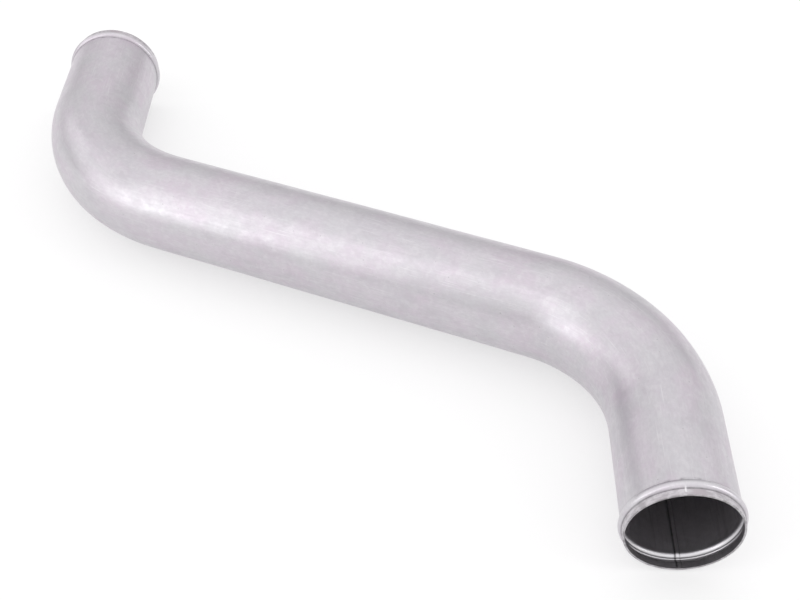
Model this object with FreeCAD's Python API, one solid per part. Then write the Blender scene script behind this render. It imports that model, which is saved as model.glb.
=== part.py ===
import FreeCAD, Part
import math
import os

from FreeCAD import Vector

# Charge air cooler pipe: one length of seam-welded round tube, bent twice in one plane into a flat Z,
# with a bead rolled into each end to hold a hose and its clamp.
# Frame: both legs lie along Y, the near mouth faces -Y, the far mouth faces +Y, and +Z is up.
# The origin is at the middle of the pipe's footprint, on the surface that it lies on.

# Tube stock; the weld seam stands up inside, along the bore's lowest line
TUBE_DIAMETER = 101.6
WALL = 1.9
SEAM_WIDTH = 3.2
SEAM_HEIGHT = 0.45

# Bends and straight runs, measured on the centre line; each leg counts from its mouth
BEND_ANGLE = 67.5
BEND_RADIUS = 166.0
MIDDLE_RUN = 422.0
NEAR_LEG = 119.0
FAR_LEG = 114.0

# Hose bead, behind a plain lip; the flanks rise at an angle to the tube and meet in a round crown
LIP_LENGTH = 6.4
BEAD_HEIGHT = 2.8
BEAD_CROWN_RADIUS = 4.6
BEAD_FLANK_ANGLE = 50.0

# Tube sizes that follow
OUTER_RADIUS = TUBE_DIAMETER / 2
BORE_RADIUS = OUTER_RADIUS - WALL
CREST_RADIUS = OUTER_RADIUS + BEAD_HEIGHT
SEAM_EDGE_DEPTH = math.sqrt(BORE_RADIUS**2 - (SEAM_WIDTH / 2) ** 2)

# Bead sizes that follow; the inside flank starts later, so that the wall keeps its thickness on the slope
FLANK = math.radians(BEAD_FLANK_ANGLE)
FLANK_RISE = BEAD_HEIGHT - BEAD_CROWN_RADIUS * (1 - math.cos(FLANK))
CROWN_HALF_WIDTH = BEAD_CROWN_RADIUS * math.sin(FLANK)
BEAD_WIDTH = 2 * (CROWN_HALF_WIDTH + FLANK_RISE / math.tan(FLANK))
INSIDE_FLANK_START = WALL * math.tan(FLANK / 2)
GROOVE_FLOOR_START = INSIDE_FLANK_START + BEAD_HEIGHT / math.tan(FLANK)
END_LENGTH = LIP_LENGTH + BEAD_WIDTH

# Place of the near mouth's centre, from the two bends and the runs between them
TURN = math.radians(BEND_ANGLE)
SIDE_STEP = 2 * BEND_RADIUS * (1 - math.cos(TURN)) + MIDDLE_RUN * math.sin(TURN)
REACH = NEAR_LEG + FAR_LEG + 2 * BEND_RADIUS * math.sin(TURN) + MIDDLE_RUN * math.cos(TURN)
NEAR_MOUTH = Vector(SIDE_STEP / 2, -REACH / 2, CREST_RADIUS)

LEFT = Vector(0, 0, 1)
RIGHT = Vector(0, 0, -1)
Y_AXIS = Vector(0, 1, 0)


def tube_section():
    """The tube's ring about Y, with the weld seam's rounded top as part of its inner edge."""
    seam_left = Vector(-SEAM_WIDTH / 2, 0, -SEAM_EDGE_DEPTH)
    seam_top = Vector(0, 0, SEAM_HEIGHT - BORE_RADIUS)
    seam_right = Vector(SEAM_WIDTH / 2, 0, -SEAM_EDGE_DEPTH)
    seam = Part.Arc(seam_left, seam_top, seam_right).toShape()
    bore = Part.Arc(seam_right, Vector(0, 0, BORE_RADIUS), seam_left).toShape()
    outside = Part.Wire(Part.makeCircle(OUTER_RADIUS, Vector(), Y_AXIS))
    inside = Part.Wire([seam, bore])
    return Part.makeFace([outside, inside], "Part::FaceMakerBullseye")


def rolled_bead():
    """The bead's wall about +Y from its front foot at the origin; the roll leaves the seam flat in here."""
    def at(along, radius):
        return Vector(0, along, radius)

    middle = BEAD_WIDTH / 2
    crown_foot = OUTER_RADIUS + FLANK_RISE
    groove_floor = BORE_RADIUS + BEAD_HEIGHT
    crown_start = at(middle - CROWN_HALF_WIDTH, crown_foot)
    crown_end = at(middle + CROWN_HALF_WIDTH, crown_foot)
    crown = Part.Arc(crown_start, at(middle, CREST_RADIUS), crown_end).toShape()
    rest = Part.makePolygon([
        crown_end,
        at(BEAD_WIDTH, OUTER_RADIUS),
        at(BEAD_WIDTH, BORE_RADIUS),
        at(BEAD_WIDTH - INSIDE_FLANK_START, BORE_RADIUS),
        at(BEAD_WIDTH - GROOVE_FLOOR_START, groove_floor),
        at(GROOVE_FLOOR_START, groove_floor),
        at(INSIDE_FLANK_START, BORE_RADIUS),
        at(0, BORE_RADIUS),
        at(0, OUTER_RADIUS),
        crown_start,
    ])
    profile = Part.Wire([crown] + rest.Edges)
    return Part.Face(profile).revolve(Vector(), Y_AXIS, 360)


class TubeWalk:
    """Lays the tube down from one mouth to the other and keeps the solid of each stretch."""

    def __init__(self, mouth):
        self.section = tube_section().translated(mouth)
        self.place = mouth
        self.heading = Y_AXIS
        self.solids = []

    def step(self, step):
        self.section = self.section.translated(step)
        self.place = self.place + step

    def run(self, length):
        step = self.heading * length
        self.solids.append(self.section.extrude(step))
        self.step(step)

    def bead(self):
        self.solids.append(rolled_bead().translated(self.place))
        self.step(self.heading * BEAD_WIDTH)

    def bend(self, side):
        centre = self.place + side.cross(self.heading) * BEND_RADIUS
        rotation = FreeCAD.Rotation(side, BEND_ANGLE)
        self.solids.append(self.section.revolve(centre, side, BEND_ANGLE))
        self.section = self.section.rotated(centre, side, BEND_ANGLE)
        self.place = centre + rotation.multVec(self.place - centre)
        self.heading = rotation.multVec(self.heading)


def charge_air_pipe():
    tube = TubeWalk(NEAR_MOUTH)
    tube.run(LIP_LENGTH)
    tube.bead()
    tube.run(NEAR_LEG - END_LENGTH)
    tube.bend(LEFT)
    tube.run(MIDDLE_RUN)
    tube.bend(RIGHT)
    tube.run(FAR_LEG - END_LENGTH)
    tube.bead()
    tube.run(LIP_LENGTH)
    return tube.solids[0].fuse(tube.solids[1:]).removeSplitter()


os.makedirs("parts", exist_ok=True)
charge_air_pipe().exportStep("parts/charge_air_pipe.step")
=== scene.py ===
import math

import bpy
import numpy as np
from mathutils import Euler, Matrix, Vector


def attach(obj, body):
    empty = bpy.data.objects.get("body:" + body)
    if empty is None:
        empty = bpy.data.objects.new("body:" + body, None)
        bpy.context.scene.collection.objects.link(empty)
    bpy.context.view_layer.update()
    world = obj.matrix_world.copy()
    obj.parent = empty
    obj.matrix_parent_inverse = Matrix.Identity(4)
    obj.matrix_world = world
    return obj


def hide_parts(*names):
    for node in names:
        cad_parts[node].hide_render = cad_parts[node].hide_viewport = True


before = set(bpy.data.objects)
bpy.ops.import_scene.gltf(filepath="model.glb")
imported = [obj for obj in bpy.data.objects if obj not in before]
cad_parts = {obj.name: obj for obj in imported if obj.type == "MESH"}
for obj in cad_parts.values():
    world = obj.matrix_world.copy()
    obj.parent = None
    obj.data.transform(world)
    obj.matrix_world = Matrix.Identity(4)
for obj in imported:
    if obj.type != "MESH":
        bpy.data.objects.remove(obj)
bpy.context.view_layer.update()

# Tube sizes in millimetres, as in the part's source, where the bead's width follows from its other sizes.
# Clock angles are in radians round the tube from its top, towards the right on the way from the near mouth.
MM = 0.001
OUTER = 50.8
WALL = 1.9
BORE = OUTER - WALL
BEND_RADIUS = 166.0
TURN = math.radians(67.5)
NEAR_LEG = 119.0
FAR_LEG = 114.0
MIDDLE_RUN = 422.0
LIP = 6.4
BEAD_HEIGHT = 2.8
BEAD_WIDTH = 8.99
BEAD_CROWN_RADIUS = 4.6
FLANK = math.radians(50)
SEAM_WIDTH = 3.2
SEAM_HEIGHT = 0.45

# Sizes that follow: the axis' height, places along the centre line and the pipe's reach
AXIS_HEIGHT = OUTER + BEAD_HEIGHT
ARC = BEND_RADIUS * TURN
BEND_1_END = NEAR_LEG + ARC
BEND_2_START = BEND_1_END + MIDDLE_RUN
LENGTH = NEAR_LEG + FAR_LEG + 2 * ARC + MIDDLE_RUN
SIDE_STEP = 2 * BEND_RADIUS * (1 - math.cos(TURN)) + MIDDLE_RUN * math.sin(TURN)
REACH = NEAR_LEG + FAR_LEG + 2 * BEND_RADIUS * math.sin(TURN) + MIDDLE_RUN * math.cos(TURN)
BEAD_REAR = LIP + BEAD_WIDTH
VALLEY_REAR = BEAD_REAR + 0.35

# Mesh: ring spacing in the legs, bends and middle run, and the turn between points of a rounded corner
LEG_STEP = 5
BEND_STEP = 5.6
RUN_STEP = 7
CORNER_STEP = 0.16
# Extra rings on the lip and behind the bead, columns in degrees from the seam, and columns round the rest
LIP_RINGS_OUTSIDE = (0.9, 1.8, 2.9, 4.0, 5.0, 5.7)
LIP_RINGS_INSIDE = (1.0, 2.2, 3.4, 4.6, 5.4)
REAR_RINGS = (0.8, 1.3, 1.9, 2.8, 4.2)
SEAM_COLUMNS = (0, 0.45, 0.9, 1.35, 1.75, 2.05, 2.4, 2.9, 3.6)
OPEN_COLUMNS = 147
OPEN_MARGIN = 0.083

# Traces of rolling and bending; a wave is (strength, millimetres along per radian, lobes round, phase)
SWAY = 0.05
SWAY_WAVES = ((1.0, 41, 2, 0.0), (0.8, 23, -3, 1.3), (0.6, 13, 1, 4.1))
SWAY_STARTS = (22, 60)
BEND_OVAL = 0.3
BEND_EASE = 60
DIE_PLACE = 129.8
DIE_CLOCK = -0.83
DIE_SLANT = 12
DIE_LENGTH = 4
DIE_SPREAD = 0.11
DIE_DEPTH = 0.13
FLAT_LINE_CLOCK = -1.06
FLAT_LINE_SPREAD = 0.07
FLAT_LINE_REACH = (24, 50, 105, 135)
FLAT_LINE_DEPTH = 0.1
GROOVE_CREASE = 12.6

# Weld seam: its place, the valleys beside it, how much of it the bead's roll leaves, and where that ends
SEAM_CLOCK = math.radians(177.2)
SEAM_STARTS = (0.2, 1.2)
SEAM_VALLEY = 2.0
SEAM_VALLEY_WIDTH = 0.35
SEAM_VALLEY_DEPTH = 0.14
SEAM_LEFT_BY_ROLL = 0.3
ROLL_ENDS = (14, 19)

# Wear at the ends; a wave is (strength, lobes round, phase)
WANDER_WAVES = ((1.0, 7, 0.4), (0.7, 17, 2.2), (0.6, 31, 5.0))
REAR_VALLEY_WIDTH = 0.8
REAR_VALLEY_DEPTH = 0.05
REAR_VALLEY_WANDER = 0.25
NICK_DEPTH = 0.35
NICK_THRESHOLD = 0.55
NICK_REACH = (0.2, 1.0)

# Painted shade in the bead's creases and the groove's crease: lines of (strength, distance from the mouth,
# width); and dirt spots behind the bead
LIP_CREASE_SHADE = (0.85, LIP + 0.05, 0.32)
REAR_FOOT_SHADE = (0.5, BEAD_REAR, 0.4)
GROOVE_CREASE_SHADE = (0.8, GROOVE_CREASE, 0.4)
DIRT_SPOT_CLOCKS = (-2.3, -1.5, -0.36, -0.12, 0.15, 0.95, 1.75, 2.6)
DIRT_SPOT_SPREAD = 0.03

# Marks on the lip, in metres to the side of its top
STAIN_SIDE = 0.006
TICK_SIDE = -0.0049

# Colours of the coat, of wear on it and of the bore, and of painted shade in the creases, beside the inner
# seam, on the rim and inside the lip
PALE_LILAC = (0.623, 0.578, 0.629, 1)
PALE_NEUTRAL = (0.601, 0.587, 0.614, 1)
DULL_LILAC = (0.609, 0.551, 0.61, 1)
DULL_NEUTRAL = (0.585, 0.56, 0.598, 1)
LIGHT_PATCH = (0.656, 0.637, 0.661, 1)
DARK_PATCH = (0.511, 0.473, 0.513, 1)
PALE_BLOTCH = (0.652, 0.629, 0.657, 1)
GREY_SPECK = (0.533, 0.505, 0.538, 1)
DARK_STREAK = (0.478, 0.46, 0.487, 1)
BRIGHT_SCRATCH = (0.76, 0.75, 0.77, 1)
PIT = (0.3, 0.29, 0.31, 1)
BEAD_CREST = (0.7, 0.69, 0.71, 1)
LIP_DARK = (0.46, 0.435, 0.455, 1)
LIP_PALE = (0.68, 0.655, 0.68, 1)
LIP_ROUND_MARK = (0.36, 0.345, 0.36, 1)
LIP_STAIN = (0.41, 0.355, 0.385, 1)
OUTER_SEAM = (0.45, 0.44, 0.47, 1)
DIE_MARK = (0.42, 0.41, 0.43, 1)
BORE_DARK = (0.6, 0.578, 0.606, 1)
BORE_PALE = (0.67, 0.648, 0.676, 1)
BORE_STREAK = (0.33, 0.32, 0.34, 1)
BORE_LIP_PAINTED_SHADE = (0.36, 0.345, 0.365, 1)
GROOVE = (0.7, 0.69, 0.71, 1)
RIM_PAINTED_SHADE = (0.3, 0.29, 0.3, 1)
RIM_PALE = (0.5, 0.49, 0.505, 1)
SEAM_VALLEY_SHADE = (0.07, 0.068, 0.075, 1)
SHADE_AND_DIRT = (0.1, 0.095, 0.1, 1)
TICK = (0.9, 0.88, 0.9, 1)

# Roughness where it is even, and the coat's relief in metres
CREST_ROUGHNESS = 0.29
GROOVE_ROUGHNESS = 0.33
RIM_ROUGHNESS = 0.5
RELIEF_STRENGTH = 0.35
RELIEF_HEIGHT = 0.00012

# Studio, in metres: the floor, the world's strength by height, and upright soft walls of light
FLOOR_HALF = 40.0
FLOOR_COLOUR = (0.44, 0.44, 0.44, 1)
FLOOR_GLOW = 0.54
WORLD_COLOUR = (1.0, 0.994, 1.0, 1)
HORIZON = 0.63
ZENITH = 1.21
STUDIO_RADIUS = 4.0
# Each wall: name, bearing in degrees from +Y towards +X, width, low edge, high edge, radiance
SOFT_WALLS = (
    ("left_low", 240, 2.14, 0.3, 2.3, 1.2),
    ("left_high", 240, 2.14, 2.3, 10.0, 0.63),
    ("left_side", 265, 1.4, 0.0, 2.3, 0.52),
    ("left_back", 293, 2.8, 0.9, 3.0, 0.4),
    ("right_back", 57, 1.4, 0.0, 4.4, 0.15),
    ("right_side", 104, 1.4, 0.2, 4.2, 1.4),
    ("front", 165, 5.0, 1.5, 4.8, 0.15),
)

# Camera: its place in metres, its tilt, roll and pan in degrees, and its lens in millimetres
CAMERA_PLACE = (0.089741, -1.012622, 0.931125)
CAMERA_TURN = (47.0764, 0.8658, 1.1422)
SENSOR_WIDTH = 36.0
LENS = 58.9016


def centre_line(along):
    """Plan position and heading at distances from the near mouth; the heading turns from +Y towards -X."""
    first = np.clip(along - NEAR_LEG, 0, ARC) / BEND_RADIUS
    middle = np.clip(along - NEAR_LEG - ARC, 0, MIDDLE_RUN)
    second = np.clip(along - NEAR_LEG - ARC - MIDDLE_RUN, 0, ARC) / BEND_RADIUS
    legs = np.minimum(along, NEAR_LEG) + np.clip(along - LENGTH + FAR_LEG, 0, None)
    x = SIDE_STEP / 2 - BEND_RADIUS * (1 - np.cos(first)) - math.sin(TURN) * middle
    x = x - BEND_RADIUS * (np.cos(TURN - second) - math.cos(TURN))
    y = legs - REACH / 2 + BEND_RADIUS * np.sin(first) + math.cos(TURN) * middle
    y = y + BEND_RADIUS * (math.sin(TURN) - np.sin(TURN - second))
    return x, y, first - second


def ease(value, low, high):
    """Rises smoothly from 0 at low to 1 at high."""
    t = np.clip((value - low) / (high - low), 0, 1)
    return t * t * (3 - 2 * t)


def fade(value, low, high):
    """Falls smoothly from 1 at low to 0 at high."""
    return ease(-value, -high, -low)


def window(value, rise_low, rise_high, fall_low, fall_high):
    """Rises smoothly to 1 and falls back to 0."""
    return ease(value, rise_low, rise_high) * fade(value, fall_low, fall_high)


def bump_at(value, centre, width):
    """A bell of height 1."""
    return np.exp(-(((value - centre) / width) ** 2))


def rounded(corners):
    """Points of a profile line whose corners (along, radius, rounding) are rounded with arcs."""
    points = []
    for i, (along, radius, rounding) in enumerate(corners):
        here = np.array([along, radius])
        if rounding == 0:
            points.append(here)
            continue
        back = np.array(corners[i - 1][:2]) - here
        ahead = np.array(corners[i + 1][:2]) - here
        back = back / np.linalg.norm(back)
        ahead = ahead / np.linalg.norm(ahead)
        half = math.acos(np.clip(back @ ahead, -1, 1)) / 2
        bisector = (back + ahead) / np.linalg.norm(back + ahead)
        centre = here + bisector * rounding / math.sin(half)
        start = here + back * rounding / math.tan(half) - centre
        end = here + ahead * rounding / math.tan(half) - centre
        sweep = math.pi - 2 * half
        steps = max(3, math.ceil(sweep / CORNER_STEP))
        for k in range(steps + 1):
            t = k / steps
            spoke = (math.sin((1 - t) * sweep) * start + math.sin(t * sweep) * end) / math.sin(sweep)
            points.append(centre + spoke)
    return points


def with_rings(corners, rings, radius):
    """The rounded profile without its first and last point, with plain rings added, in order."""
    points = [tuple(p) for p in rounded(corners)[1:-1]]
    return sorted(points + [(along, radius) for along in rings])


def outside_end():
    """The outside of an end: lip, sharp front crease, round bead and softer rear foot."""
    peak = OUTER + math.tan(FLANK) * BEAD_WIDTH / 2
    corners = [
        (0.0, OUTER - WALL / 2, 0),
        (0.0, OUTER, 0.32),
        (LIP, OUTER, 0.3),
        (LIP + BEAD_WIDTH / 2, peak, BEAD_CROWN_RADIUS),
        (BEAD_REAR, OUTER, 0.8),
        (BEAD_REAR + 8, OUTER, 0),
    ]
    return with_rings(corners, LIP_RINGS_OUTSIDE + tuple(BEAD_REAR + a for a in REAR_RINGS), OUTER)


def inside_end():
    """The inside of an end: lip and the bead's groove, with the fine crease that the roll leaves in it."""
    flank_start = WALL * math.tan(FLANK / 2)
    floor_start = flank_start + BEAD_HEIGHT / math.tan(FLANK)
    corners = [
        (0.0, BORE + WALL / 2, 0),
        (0.0, BORE, 0.3),
        (LIP + flank_start, BORE, 2.2),
        (LIP + floor_start, BORE + BEAD_HEIGHT + 0.25, 0.5),
        (GROOVE_CREASE - 1.4, BORE + BEAD_HEIGHT + 0.05, 0.3),
        (GROOVE_CREASE - 0.35, BORE + BEAD_HEIGHT - 0.75, 0),
        (GROOVE_CREASE, BORE + BEAD_HEIGHT - 0.55, 0),
        (GROOVE_CREASE + 0.3, BORE + BEAD_HEIGHT - 0.95, 0),
        (BEAD_REAR - 0.45, BORE, 5.5),
        (BEAD_REAR + 8, BORE, 0),
    ]
    return with_rings(corners, LIP_RINGS_INSIDE, BORE)


def stretch(start, end, step):
    """Even places between start and end, at most a step apart."""
    count = max(1, math.ceil((end - start) / step))
    return [start + (end - start) * k / count for k in range(1, count)]


def profile(end, radius):
    """One side of the wall from mouth to mouth: (along, radius) with the same end at both mouths."""
    last = end[-1][0]
    marks = [last, NEAR_LEG, BEND_1_END, BEND_2_START, LENGTH - FAR_LEG, LENGTH - last]
    steps = [LEG_STEP, BEND_STEP, RUN_STEP, BEND_STEP, LEG_STEP]
    runs = []
    for start, finish, step in zip(marks, marks[1:], steps):
        runs += stretch(start, finish, step) + [finish]
    far = [(LENGTH - along, r) for along, r in reversed(end)]
    return end + [(along, radius) for along in runs[:-1]] + far


class Skin:
    """The tube's closed skin: rings along the outside and back through the bore, and columns round."""

    def __init__(self):
        outside = profile(outside_end(), OUTER)
        inside = profile(inside_end(), BORE)[::-1]
        self.ring_along = np.array([p[0] for p in outside + inside])
        self.ring_radius = np.array([p[1] for p in outside + inside])
        close = np.radians(SEAM_COLUMNS)
        open_part = np.linspace(OPEN_MARGIN, 2 * math.pi - OPEN_MARGIN, OPEN_COLUMNS)
        columns = np.concatenate([-close[:0:-1], close, open_part])
        clock = (SEAM_CLOCK + columns) % (2 * math.pi)
        self.along, self.clock = np.meshgrid(self.ring_along, clock, indexing="ij")
        self.radius = np.repeat(self.ring_radius[:, None], len(clock), 1)
        self.bore = np.zeros_like(self.radius)
        self.bore[len(outside):] = 1.0
        self.near = self.along < LENGTH / 2
        self.from_mouth = np.minimum(self.along, LENGTH - self.along)
        self.turned = np.angle(np.exp(1j * self.clock))
        self.from_seam = np.angle(np.exp(1j * (self.clock - SEAM_CLOCK)))
        self.off_seam = np.abs(self.from_seam) * BORE
        self.wander = sum(s * np.sin(lobes * self.clock + phase) for s, lobes, phase in WANDER_WAVES)
        self.die = self.die_mark()
        self.flat_line = self.line_below_die()
        self.make_uneven()
        self.press_die_marks()
        self.raise_seam()
        self.wear_ends()

    def die_mark(self):
        """The mark that the bending die leaves on the inner side of the near bend."""
        slanted = DIE_PLACE + DIE_SLANT * (self.turned - DIE_CLOCK)
        return bump_at(self.along, slanted, DIE_LENGTH) * bump_at(self.turned, DIE_CLOCK, DIE_SPREAD)

    def line_below_die(self):
        """The flat line that the die leaves along the near leg."""
        across = bump_at(self.turned, FLAT_LINE_CLOCK, FLAT_LINE_SPREAD)
        return across * window(self.along, *FLAT_LINE_REACH)

    def make_uneven(self):
        """Rolling leaves the tube slightly uneven, and bending leaves the bends a little oval."""
        sway = sum(
            strength * np.sin(self.along / length + lobes * self.clock + phase)
            for strength, length, lobes, phase in SWAY_WAVES
        )
        self.radius = self.radius + SWAY * sway * ease(self.from_mouth, *SWAY_STARTS)
        bends = sum(
            window(self.along, start, start + BEND_EASE, start + ARC - BEND_EASE, start + ARC)
            for start in (NEAR_LEG, BEND_2_START)
        )
        self.radius = self.radius + BEND_OVAL * bends * np.cos(2 * self.clock)

    def press_die_marks(self):
        self.radius = self.radius - DIE_DEPTH * self.die * (1 - self.bore)
        self.radius = self.radius - FLAT_LINE_DEPTH * self.flat_line * (1 - self.bore)

    def raise_seam(self):
        """The weld seam inside: a ridge with shallow valleys, rolled nearly flat in groove and lip."""
        rise = np.clip(1 - (self.off_seam / (SEAM_WIDTH / 2)) ** 2, 0, None)
        valley = bump_at(self.off_seam, SEAM_VALLEY, SEAM_VALLEY_WIDTH)
        kept = SEAM_LEFT_BY_ROLL + (1 - SEAM_LEFT_BY_ROLL) * ease(self.from_mouth, *ROLL_ENDS)
        relief = (SEAM_HEIGHT * rise - SEAM_VALLEY_DEPTH * valley) * kept
        self.radius = self.radius - relief * self.bore * ease(self.from_mouth, *SEAM_STARTS)

    def wear_ends(self):
        """The valley behind the bead wanders, and the lip's edge is a little knocked about."""
        valley = bump_at(self.from_mouth, VALLEY_REAR + REAR_VALLEY_WANDER * self.wander, REAR_VALLEY_WIDTH)
        self.radius = self.radius - REAR_VALLEY_DEPTH * (1 + 0.5 * self.wander) * valley * (1 - self.bore)
        knocks = np.sin(23 * self.clock + 1.1) * np.sin(9 * self.clock + 0.3)
        nicks = np.clip(knocks - NICK_THRESHOLD, 0, None)
        inward = np.where(self.near, 1, -1)
        self.along = self.along + inward * NICK_DEPTH * nicks * fade(self.from_mouth, *NICK_REACH)

    def places(self):
        """Each point in the pipe's frame, in metres."""
        x, y, heading = centre_line(self.along)
        across = self.radius * np.sin(self.clock)
        height = AXIS_HEIGHT + self.radius * np.cos(self.clock)
        return np.stack([x + across * np.cos(heading), y + across * np.sin(heading), height], -1) * MM

    def straightened(self):
        """Each point as if the tube were straight along Z, in metres, for the coat's noise."""
        across = self.radius * np.sin(self.clock)
        return np.stack([across, self.radius * np.cos(self.clock), self.along], -1) * MM

    def quads(self):
        index = np.arange(self.radius.size).reshape(self.radius.shape)
        after = np.roll(index, -1, 0)
        return np.stack([index, after, np.roll(after, -1, 1), np.roll(index, -1, 1)], -1).reshape(-1, 4)

    def unwrapped(self):
        """Texture places of each quad's corners: u round the clock, v along the profile."""
        steps = np.hypot(np.diff(self.ring_along), np.diff(self.ring_radius))
        run = np.concatenate([[0], np.cumsum(steps)])
        v = np.append(run, run[-1] + WALL) / (run[-1] + WALL)
        u = np.linspace(0, 1, self.radius.shape[1] + 1)
        uv = np.empty(self.radius.shape + (4, 2))
        uv[..., 0] = np.stack([u[:-1], u[:-1], u[1:], u[1:]], -1)[None, :, :]
        uv[..., 1] = np.stack([v[:-1], v[1:], v[1:], v[:-1]], -1)[:, None, :]
        return uv

    def crease_shade_and_dirt(self, rim):
        """Painted shade in the creases at both feet of the bead and in the groove's crease, and a faint
        line of painted shade behind the bead with dirt spots in it.
        """
        spots = sum(bump_at(self.turned, spot, DIRT_SPOT_SPREAD) for spot in DIRT_SPOT_CLOCKS)
        behind_bead = (0.14 + 0.5 * spots, VALLEY_REAR + 0.7 + 0.3 * self.wander, 0.9)
        outer = self.line_round(*LIP_CREASE_SHADE)
        outer += self.line_round(*REAR_FOOT_SHADE)
        outer += self.line_round(*behind_bead)
        inner = self.line_round(*GROOVE_CREASE_SHADE)
        return np.clip(np.where(self.bore > 0.5, inner, outer), 0, 1) * (1 - rim)

    def line_round(self, strength, distance, width):
        """A soft line round the tube at a distance from the mouth."""
        return strength * bump_at(self.from_mouth, distance, width)

    def seam_valley_shade_lines(self):
        """Painted shade in the valleys beside the seam: a broad dark line and a thin one, weaker deeper in
        the bore.
        """
        broad = 0.95 * bump_at(self.off_seam, SEAM_VALLEY, 0.75)
        thin = 0.5 * bump_at(self.off_seam, SEAM_VALLEY, 0.4)
        lines = np.where(self.from_seam > 0, broad, thin)
        return lines * self.bore * ease(self.from_mouth, 0.5, 2) * (1 - 0.5 * ease(self.from_mouth, 25, 90))

    def masks(self):
        """Where the material changes, from 0 to 1 at each point."""
        outside = 1 - self.bore
        rim = fade(self.from_mouth, 0.05, 0.34)
        return {
            "bore": self.bore,
            "lip": fade(self.from_mouth, LIP - 0.5, LIP + 1.2 * self.bore),
            "crest": bump_at(self.from_mouth, LIP + BEAD_WIDTH / 2, 2.4) * outside,
            "rim": rim,
            "crease_shade_and_dirt": self.crease_shade_and_dirt(rim),
            # the seam mask holds the painted shade in the valleys beside the seam
            "seam": self.seam_valley_shade_lines(),
            "outer_seam": bump_at(self.off_seam, 0, 2.4) * outside,
            "die_mark": np.clip(self.die + 0.5 * self.flat_line, 0, 1) * outside,
            "groove": window(self.from_mouth, 9.5, 11.5, 16, 20) * self.bore,
        }


def build_pipe():
    skin = Skin()
    mesh = bpy.data.meshes.new("pipe")
    mesh.from_pydata(skin.places().reshape(-1, 3).tolist(), [], skin.quads().tolist())
    mesh.polygons.foreach_set("use_smooth", [True] * len(mesh.polygons))
    mesh.uv_layers.new(name="UVMap").data.foreach_set("uv", skin.unwrapped().ravel())
    masks = skin.masks()
    for name, values in masks.items():
        mesh.attributes.new(name, "FLOAT", "POINT").data.foreach_set("value", values.ravel())
    straight = mesh.attributes.new("straight", "FLOAT_VECTOR", "POINT")
    straight.data.foreach_set("vector", skin.straightened().ravel())
    mesh.materials.append(aluminised_steel(masks))
    mesh.update()
    pipe = bpy.data.objects.new("pipe", mesh)
    bpy.context.collection.objects.link(pipe)
    return pipe


class Nodes:
    """Short calls to make and link a material's nodes."""

    def __init__(self, tree):
        self.tree = tree
        tree.nodes.clear()

    def add(self, kind, **settings):
        node = self.tree.nodes.new(kind)
        for name, value in settings.items():
            setattr(node, name, value)
        return node

    def put(self, socket, value):
        if isinstance(value, bpy.types.NodeSocket):
            self.tree.links.new(value, socket)
        else:
            socket.default_value = value

    def attribute(self, name):
        return self.add("ShaderNodeAttribute", attribute_name=name)

    def math(self, operation, first, second=0.0, clamp=False):
        node = self.add("ShaderNodeMath", operation=operation, use_clamp=clamp)
        self.put(node.inputs[0], first)
        self.put(node.inputs[1], second)
        return node.outputs[0]

    def times(self, first, second):
        return self.math("MULTIPLY", first, second)

    def plus(self, first, second, clamp=False):
        return self.math("ADD", first, second, clamp)

    def stretched(self, vector, scale, shift=(0, 0, 0)):
        node = self.add("ShaderNodeMapping")
        self.put(node.inputs["Vector"], vector)
        node.inputs["Scale"].default_value = scale
        node.inputs["Location"].default_value = shift
        return node.outputs[0]

    def noise(self, vector, scale, detail, roughness=0.5, distortion=0.0):
        node = self.add("ShaderNodeTexNoise")
        self.put(node.inputs["Vector"], vector)
        node.inputs["Scale"].default_value = scale
        node.inputs["Detail"].default_value = detail
        node.inputs["Roughness"].default_value = roughness
        node.inputs["Distortion"].default_value = distortion
        return node.outputs["Fac"]

    def ramp(self, value, to_low, to_high):
        node = self.add("ShaderNodeMapRange")
        self.put(node.inputs["Value"], value)
        node.inputs["To Min"].default_value = to_low
        node.inputs["To Max"].default_value = to_high
        return node.outputs[0]

    def between(self, value, low, high, to_low=0.0, to_high=1.0):
        node = self.add("ShaderNodeMapRange", interpolation_type="SMOOTHSTEP")
        self.put(node.inputs["Value"], value)
        node.inputs["From Min"].default_value = low
        node.inputs["From Max"].default_value = high
        node.inputs["To Min"].default_value = to_low
        node.inputs["To Max"].default_value = to_high
        return node.outputs[0]

    def mix(self, factor, first, second):
        node = self.add("ShaderNodeMix", data_type="RGBA")
        self.put(node.inputs[0], factor)
        self.put(node.inputs[6], first)
        self.put(node.inputs[7], second)
        return node.outputs[2]

    def mix_value(self, factor, first, second):
        node = self.add("ShaderNodeMix", data_type="FLOAT")
        self.put(node.inputs[0], factor)
        self.put(node.inputs[2], first)
        self.put(node.inputs[3], second)
        return node.outputs[0]


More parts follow.
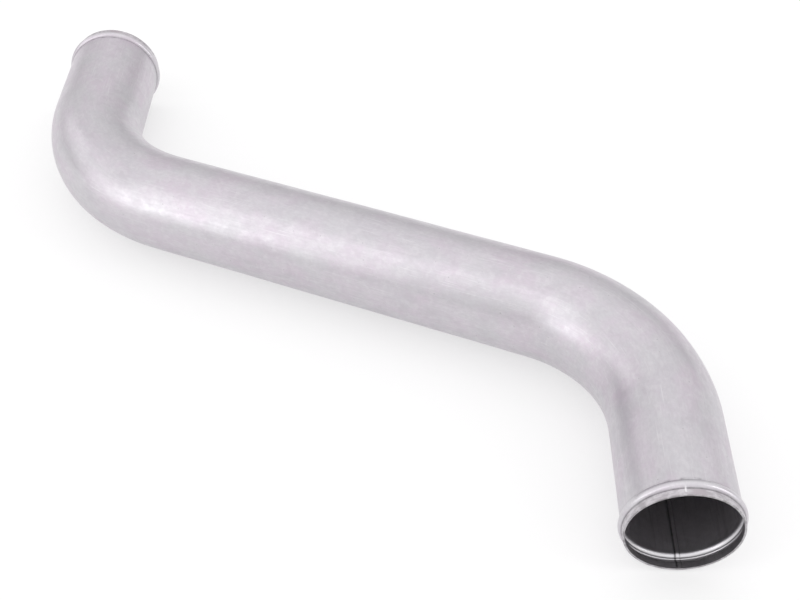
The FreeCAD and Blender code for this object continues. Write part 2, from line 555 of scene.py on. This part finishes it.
class Coat:
    """The aluminised coat's nodes: noise in the straightened tube's frame, and the skin's masks."""

    def __init__(self, n, mask_names):
        self.n = n
        place = n.attribute("straight").outputs["Vector"]
        self.mask = {name: n.attribute(name).outputs["Fac"] for name in mask_names}
        self.sides = n.add("ShaderNodeSeparateXYZ")
        n.put(self.sides.inputs[0], place)

        # Mottling, from large to fine; a noise has a scale per metre, detail, roughness and distortion
        self.clouds = n.noise(n.stretched(place, (1, 1, 0.6)), 30, 4, 0.55, 0.4)
        self.hue = n.noise(n.stretched(place, (1, 1, 0.6), (3.1, 1.7, 0.4)), 38, 4, 0.55)
        self.patches = n.noise(n.stretched(place, (1, 1, 0.8), (0.7, 2.3, 1.1)), 65, 3, 0.6, 0.6)
        self.blotches = n.noise(place, 120, 5, 0.6, 0.3)
        self.specks = n.noise(n.stretched(place, (1, 1, 0.5)), 420, 3, 0.65)
        self.grain = n.noise(place, 1500, 2, 0.6)

        # Marks along the tube, marks round it, scuffs and pits
        self.streaks = n.noise(n.stretched(place, (1, 1, 0.045)), 380, 3, 0.6)
        self.scratches = n.noise(n.stretched(place, (1, 1, 0.018), (0.3, 0.9, 0.2)), 1300, 1, 0.4)
        self.rounds = n.noise(n.stretched(place, (0.06, 0.06, 1)), 2600, 2, 0.5)
        self.scuffs = n.noise(n.stretched(place, (1, 1, 1.8)), 170, 4, 0.6)
        cells = n.add("ShaderNodeTexVoronoi", feature="F1")
        n.put(cells.inputs["Vector"], place)
        cells.inputs["Scale"].default_value = 130
        pit_shape = n.between(cells.outputs["Distance"], 0.05, 0.13, 1, 0)
        self.pits = n.times(pit_shape, n.between(self.blotches, 0.52, 0.6))

    def off_side(self, side):
        """Distance from a place beside the tube's top."""
        return self.n.math("ABSOLUTE", self.n.math("SUBTRACT", self.sides.outputs["X"], side))

    def outside_colour(self):
        n = self.n
        pale = n.mix(n.between(self.hue, 0.38, 0.62), PALE_LILAC, PALE_NEUTRAL)
        dull = n.mix(n.between(self.hue, 0.4, 0.6), DULL_LILAC, DULL_NEUTRAL)
        colour = n.mix(n.between(self.clouds, 0.33, 0.6), dull, pale)
        # Each layer: noise, its range, the layer's weight at both ends of the range, colour
        layers = (
            (self.patches, 0.5, 0.62, 0, 0.34, LIGHT_PATCH),
            (self.patches, 0.34, 0.46, 0.28, 0, DARK_PATCH),
            (self.blotches, 0.5, 0.64, 0, 0.5, PALE_BLOTCH),
            (self.specks, 0.4, 0.6, 0.32, 0, GREY_SPECK),
            (self.streaks, 0.3, 0.46, 0.12, 0, DARK_STREAK),
            (self.scratches, 0.68, 0.74, 0, 0.4, BRIGHT_SCRATCH),
        )
        for noise, low, high, at_low, at_high, layer in layers:
            colour = n.mix(n.between(noise, low, high, at_low, at_high), colour, layer)
        # Each mark: mask, weight, colour
        marks = (
            (self.pits, 0.45, PIT),
            (self.mask["crest"], 0.45, BEAD_CREST),
            (self.mask["lip"], 0.75, self.scuffed_lip()),
            (self.mask["outer_seam"], n.between(self.blotches, 0.3, 0.7, 0.2, 0.55), OUTER_SEAM),
            (self.mask["die_mark"], 0.3, DIE_MARK),
        )
        for mask, weight, mark in marks:
            colour = n.mix(n.times(mask, weight), colour, mark)
        return colour

    def scuffed_lip(self):
        n = self.n
        colour = n.mix(n.between(self.scuffs, 0.38, 0.62), LIP_DARK, LIP_PALE)
        colour = n.mix(n.between(self.rounds, 0.54, 0.64, 0, 0.35), colour, LIP_ROUND_MARK)
        return n.mix(n.between(self.off_side(STAIN_SIDE), 0.003, 0.009, 0.8, 0), colour, LIP_STAIN)

    def inside_colour(self):
        n = self.n
        colour = n.mix(n.between(self.blotches, 0.35, 0.65), BORE_DARK, BORE_PALE)
        colour = n.mix(n.between(self.streaks, 0.3, 0.5, 0.35, 0), colour, BORE_STREAK)
        # The lip's inner wall is painted darker: painted shade
        colour = n.mix(n.times(self.mask["lip"], 0.6), colour, BORE_LIP_PAINTED_SHADE)
        return n.mix(self.mask["groove"], colour, GROOVE)

    def tick(self):
        """A short pale tick across the lip at the top of the near mouth."""
        n = self.n
        tick = n.between(self.off_side(TICK_SIDE), 0.0004, 0.001, 1, 0)
        tick = n.times(tick, n.between(self.sides.outputs["Z"], 0.002, 0.004))
        tick = n.times(tick, n.between(self.sides.outputs["Z"], 0.0065, 0.0085, 0.75, 0))
        return n.times(tick, n.between(self.sides.outputs["Y"], 0.0495, 0.0502))

    def colour(self):
        n = self.n
        colour = n.mix(self.mask["bore"], self.outside_colour(), self.inside_colour())
        # The rim's cut face is painted dark as painted shade, lighter where scuffed
        rim = n.mix(n.between(self.scuffs, 0.4, 0.6), RIM_PAINTED_SHADE, RIM_PALE)
        colour = n.mix(n.times(self.mask["rim"], 0.8), colour, rim)
        # Painted shade in the valleys beside the inner weld seam
        colour = n.mix(self.mask["seam"], colour, SEAM_VALLEY_SHADE)
        # Painted shade in the creases, with dirt spots behind the bead, darkens the colour here
        crease_shade_and_dirt = n.times(self.mask["crease_shade_and_dirt"], n.between(self.scuffs, 0.25, 0.6, 1, 0.7))
        colour = n.mix(crease_shade_and_dirt, colour, SHADE_AND_DIRT)
        return n.mix(self.tick(), colour, TICK)

    def roughness(self):
        n = self.n
        rough = n.between(self.blotches, 0.3, 0.7, 0.4, 0.32)
        rough = n.plus(rough, n.between(self.streaks, 0.35, 0.65, 0.025, -0.025))
        rough = n.mix_value(n.times(self.mask["crest"], 0.85), rough, CREST_ROUGHNESS)
        rough = n.mix_value(self.mask["bore"], rough, n.between(self.blotches, 0.3, 0.7, 0.46, 0.38))
        rough = n.mix_value(self.mask["groove"], rough, GROOVE_ROUGHNESS)
        rough = n.mix_value(self.mask["rim"], rough, RIM_ROUGHNESS)
        return n.plus(rough, n.times(self.mask["crease_shade_and_dirt"], 0.2), clamp=True)

    def normal(self):
        n = self.n
        lip_rounds = n.times(self.rounds, self.mask["lip"])
        relief = n.times(self.grain, 0.5)
        for height, weight in ((self.blotches, 0.9), (self.streaks, 0.2), (lip_rounds, 0.6)):
            relief = n.plus(relief, n.times(height, weight))
        relief = n.math("SUBTRACT", relief, self.pits)
        bump = n.add("ShaderNodeBump")
        bump.inputs["Strength"].default_value = RELIEF_STRENGTH
        bump.inputs["Distance"].default_value = RELIEF_HEIGHT
        n.put(bump.inputs["Height"], relief)
        return bump.outputs["Normal"]


def aluminised_steel(mask_names):
    material = bpy.data.materials.new("aluminised_steel")
    material.use_nodes = True
    n = Nodes(material.node_tree)
    coat = Coat(n, mask_names)
    shader = n.add("ShaderNodeBsdfPrincipled")
    shader.inputs["Metallic"].default_value = 1.0
    n.put(shader.inputs["Base Color"], coat.colour())
    n.put(shader.inputs["Roughness"], coat.roughness())
    n.put(shader.inputs["Normal"], coat.normal())
    n.put(n.add("ShaderNodeOutputMaterial").inputs["Surface"], shader.outputs["BSDF"])
    return material


def pale_material():
    """Pale and matt; the camera and reflections see it as white, and it keeps the pipe's soft shadow."""
    material = bpy.data.materials.new("pale_floor")
    material.use_nodes = True
    n = Nodes(material.node_tree)
    path = n.add("ShaderNodeLightPath")
    seen = n.math("MAXIMUM", path.outputs["Is Camera Ray"], path.outputs["Is Glossy Ray"])
    seen = n.math("MAXIMUM", seen, path.outputs["Is Transmission Ray"])
    diffuse = n.add("ShaderNodeBsdfDiffuse")
    diffuse.inputs["Color"].default_value = FLOOR_COLOUR
    glow = n.add("ShaderNodeEmission")
    n.put(glow.inputs["Strength"], n.times(seen, FLOOR_GLOW))
    both = n.add("ShaderNodeAddShader")
    n.put(both.inputs[0], diffuse.outputs[0])
    n.put(both.inputs[1], glow.outputs[0])
    n.put(n.add("ShaderNodeOutputMaterial").inputs["Surface"], both.outputs[0])
    return material


def pale_floor():
    mesh = bpy.data.meshes.new("floor")
    corners = [(FLOOR_HALF * x, FLOOR_HALF * y, 0) for x, y in ((-1, -1), (1, -1), (1, 1), (-1, 1))]
    mesh.from_pydata(corners, [], [(0, 1, 2, 3)])
    mesh.materials.append(pale_material())
    floor = bpy.data.objects.new("floor", mesh)
    bpy.context.collection.objects.link(floor)


def soft_wall(name, bearing, width, low, high, radiance):
    """An upright soft light that faces the pipe and that the camera doesn't see."""
    light = bpy.data.lights.new(name, "AREA")
    light.shape = "RECTANGLE"
    light.size = width
    light.size_y = high - low
    light.energy = math.pi * width * (high - low) * radiance
    lamp = bpy.data.objects.new(name, light)
    turn = math.radians(bearing)
    lamp.location = (STUDIO_RADIUS * math.sin(turn), STUDIO_RADIUS * math.cos(turn), (low + high) / 2)
    lamp.rotation_euler = (math.pi / 2, 0, math.pi - turn)
    lamp.visible_camera = False
    bpy.context.collection.objects.link(lamp)


def studio():
    """A world that is brighter overhead, and the soft walls."""
    world = bpy.data.worlds.new("studio")
    world.use_nodes = True
    n = Nodes(world.node_tree)
    direction = n.add("ShaderNodeSeparateXYZ")
    n.put(direction.inputs[0], n.add("ShaderNodeTexCoord").outputs["Generated"])
    background = n.add("ShaderNodeBackground")
    background.inputs["Color"].default_value = WORLD_COLOUR
    n.put(background.inputs["Strength"], n.ramp(direction.outputs["Z"], HORIZON, ZENITH))
    n.put(n.add("ShaderNodeOutputWorld").inputs["Surface"], background.outputs[0])
    bpy.context.scene.world = world
    for wall in SOFT_WALLS:
        soft_wall(*wall)


def camera():
    data = bpy.data.cameras.new("camera")
    data.sensor_width = SENSOR_WIDTH
    data.lens = LENS
    shot = bpy.data.objects.new("camera", data)
    turn = Euler([math.radians(angle) for angle in CAMERA_TURN])
    shot.matrix_world = Matrix.LocRotScale(Vector(CAMERA_PLACE), turn, None)
    bpy.context.collection.objects.link(shot)
    bpy.context.scene.camera = shot


pipe = build_pipe()
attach(pipe, "root")
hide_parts("charge_air_pipe")
pale_floor()
studio()
camera()
bpy.context.scene.view_settings.view_transform = "Standard"
